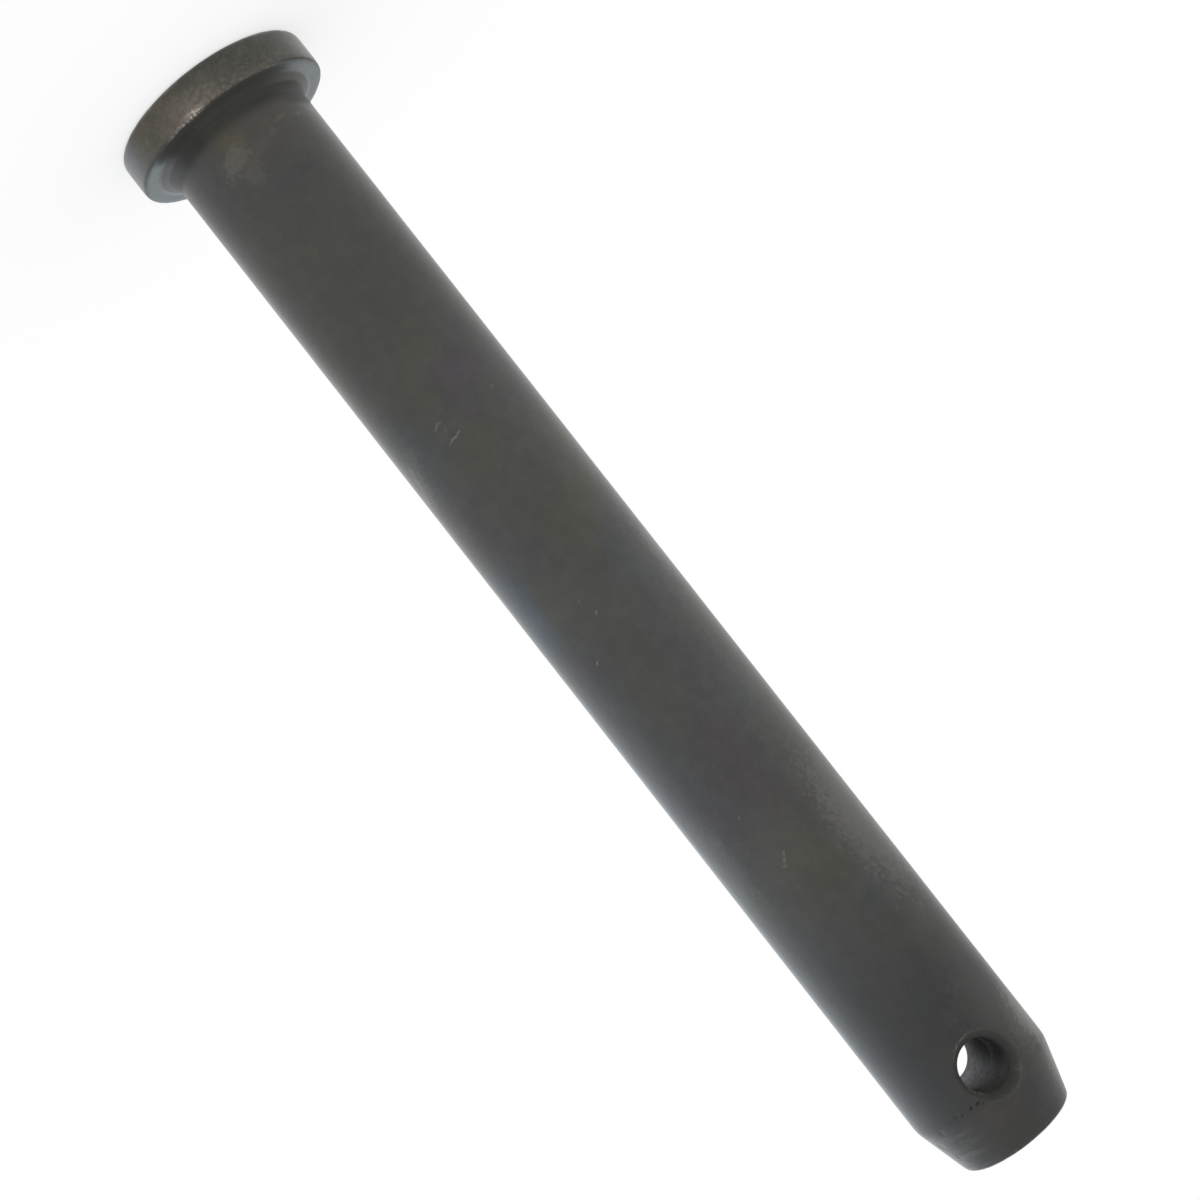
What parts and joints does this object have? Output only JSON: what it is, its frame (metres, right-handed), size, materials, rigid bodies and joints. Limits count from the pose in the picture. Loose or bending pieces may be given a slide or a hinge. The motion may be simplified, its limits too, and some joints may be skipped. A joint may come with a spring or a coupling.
{
  "type": "drawbar pin",
  "caption": "Headed steel drawbar pin with a tapered tip and a countersunk cross hole for a retaining clip, in a dark oxide finish.",
  "frame": {"origin": "centre of the head's top face, on which the pin stands", "axes": "+Z along the pin from the head to the tip, +Y along the cross hole"},
  "size_m": [0.044, 0.044, 0.2609],
  "materials": {
    "oxide_steel": "matte dark oxide with light handling wear"
  },
  "bodies": {
    "root": {"drawbar_pin": "oxide_steel"}
  },
  "joints": []
}
